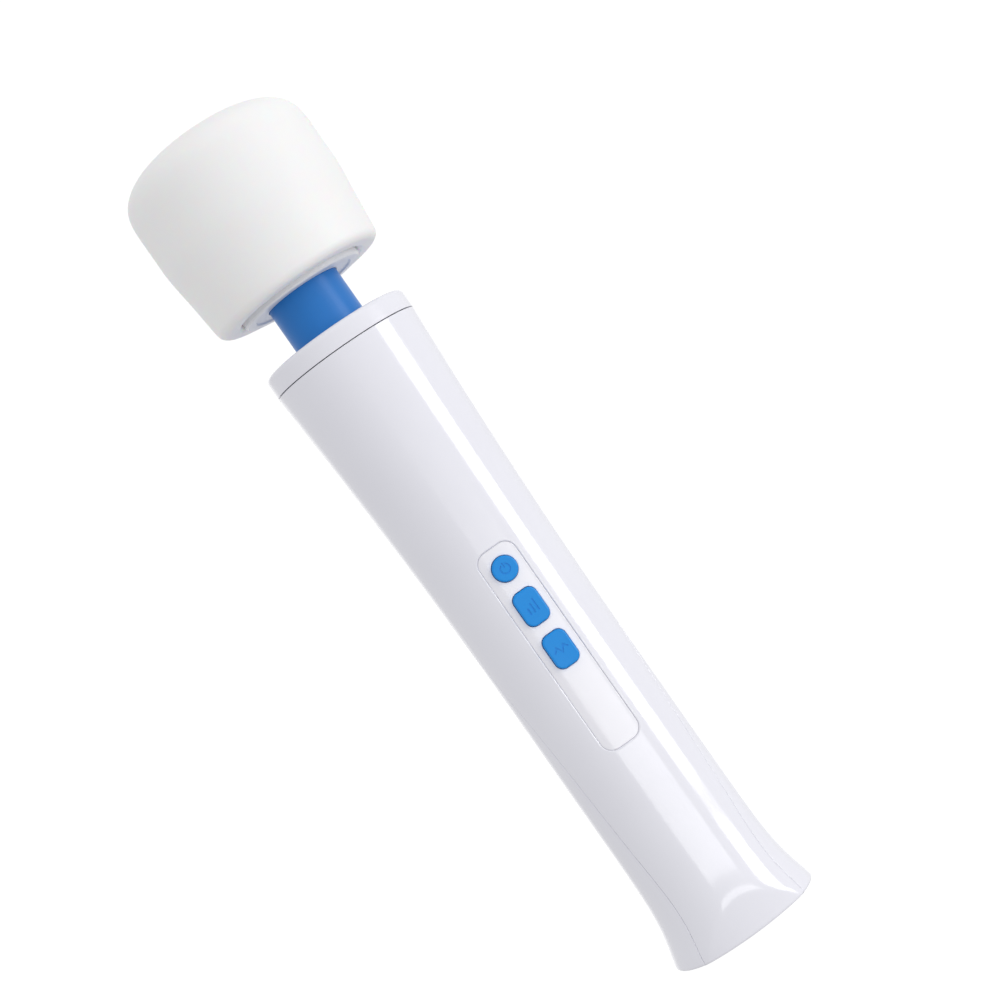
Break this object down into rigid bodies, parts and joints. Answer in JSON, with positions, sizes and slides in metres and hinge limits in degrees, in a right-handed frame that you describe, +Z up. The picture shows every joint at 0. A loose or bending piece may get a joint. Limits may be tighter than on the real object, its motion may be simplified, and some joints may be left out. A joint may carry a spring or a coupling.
{
  "type": "handheld wand massager",
  "caption": "Cordless wand massager: waisted white handle with push buttons, flexible blue neck, and a soft round head driven by a motor through a spring coupling.",
  "frame": {"origin": "centre of the foot's flat underside, below the centre of the whole object's box", "axes": "+Z runs up the wand from the foot to the head, the buttons face -Y, and +X is to the right seen from the buttons' side"},
  "size_m": [0.0644, 0.0644, 0.2973],
  "materials": {
    "shell_white": "glossy moulded ABS, cool white",
    "panel_white": "glossy moulded ABS insert, cool white",
    "head_white": "soft matte silicone, white",
    "neck_blue": "soft satin silicone, blue",
    "button_blue": "satin moulded plastic, azure blue",
    "base_plate_grey": "moulded plastic, light grey",
    "inner_plastic": "unpainted moulded nylon",
    "black_plastic": "black moulded plastic",
    "rubber_black": "black rubber",
    "circuit_board": "green fibreglass board",
    "switch_metal": "plated steel and plastic",
    "screw_steel": "zinc plated steel",
    "battery_wrap": "shrink-wrapped lithium cell, teal",
    "nickel": "nickel strip",
    "motor_steel": "zinc plated drawn steel",
    "ground_steel": "ground steel",
    "laminated_steel": "stacked steel laminations",
    "copper": "enamelled copper wire and copper bars",
    "carbon": "graphite",
    "magnet": "ferrite",
    "bronze": "oil-filled bronze",
    "hub_brass": "turned brass",
    "spring_steel": "spring wire"
  },
  "bodies": {
    "handle": {"front_shell": "shell_white", "rear_shell": "shell_white", "collar_ring": "shell_white", "control_panel": "panel_white", "neck_clamp_ring": "inner_plastic", "clamp_screws": "screw_steel", "shell_screws": "screw_steel", "control_board": "circuit_board", "board_screws": "screw_steel", "tact_switches": "switch_metal", "board_components": "black_plastic", "battery_cell": "battery_wrap", "lower_battery_holder": "inner_plastic", "upper_battery_holder": "inner_plastic", "battery_tabs": "nickel", "charge_jack": "black_plastic", "jack_pin": "nickel", "charge_board": "circuit_board", "charge_board_screws": "screw_steel", "motor_can": "motor_steel", "motor_end_cap": "inner_plastic", "motor_terminals": "copper", "motor_brushes": "carbon", "motor_bushes": "bronze", "motor_magnets": "magnet", "motor_bracket": "inner_plastic", "motor_screws": "screw_steel", "motor_cushions": "rubber_black"},
    "power_key": {"power_button": "button_blue"},
    "pattern_key": {"pattern_button": "button_blue"},
    "speed_key": {"speed_button": "button_blue"},
    "rotor": {"motor_shaft": "ground_steel", "armature_core": "laminated_steel", "armature_windings": "copper", "commutator": "copper", "drive_hub": "hub_brass", "drive_set_screw": "screw_steel", "coupling_spring": "spring_steel"},
    "neck": {"neck_sleeve": "neck_blue"},
    "head": {"head_cover": "head_white", "head_base_plate": "base_plate_grey", "bearing_carrier": "inner_plastic", "head_core": "inner_plastic", "head_screws": "screw_steel", "bearing_outer_rings": "ground_steel", "bearing_balls": "ground_steel"},
    "spindle_set": {"spindle": "ground_steel", "eccentric_weight": "hub_brass", "weight_set_screw": "screw_steel", "driven_hub": "hub_brass", "driven_set_screw": "screw_steel", "bearing_inner_rings": "ground_steel"}
  },
  "joints": [
    {"name": "power_press", "type": "slide", "parent": "handle", "child": "power_key", "axis": [0, 1, 0], "range_m": [0, 0.0006], "stiffness_N_per_m": 600, "springref_m": -0.0008},
    {"name": "pattern_press", "type": "slide", "parent": "handle", "child": "pattern_key", "axis": [0, 1, 0], "range_m": [0, 0.0006], "stiffness_N_per_m": 600, "springref_m": -0.0008},
    {"name": "speed_press", "type": "slide", "parent": "handle", "child": "speed_key", "axis": [0, 1, 0], "range_m": [0, 0.0006], "stiffness_N_per_m": 600, "springref_m": -0.0008},
    {"name": "neck_nod", "type": "hinge", "parent": "handle", "child": "neck", "pos_m": [0, 0, 0.231], "axis": [1, 0, 0], "range_deg": [-12, 12], "stiffness_Nm_per_rad": 3, "deforming": ["neck_sleeve", "coupling_spring"]},
    {"name": "neck_sway", "type": "hinge", "parent": "neck", "child": "head", "pos_m": [0, 0, 0.231], "axis": [0, 1, 0], "range_deg": [-12, 12], "stiffness_Nm_per_rad": 3, "deforming": ["neck_sleeve", "coupling_spring"]},
    {"name": "motor_spin", "type": "hinge", "parent": "handle", "child": "rotor", "pos_m": [0, 0, 0.175], "axis": [0, 0, 1], "continuous": true},
    {"name": "spindle_spin", "type": "hinge", "parent": "head", "child": "spindle_set", "pos_m": [0, 0, 0.265], "axis": [0, 0, 1], "continuous": true}
  ],
  "couplings": [
    {"joint": "spindle_spin", "follows": "motor_spin", "ratio": 1}
  ]
}
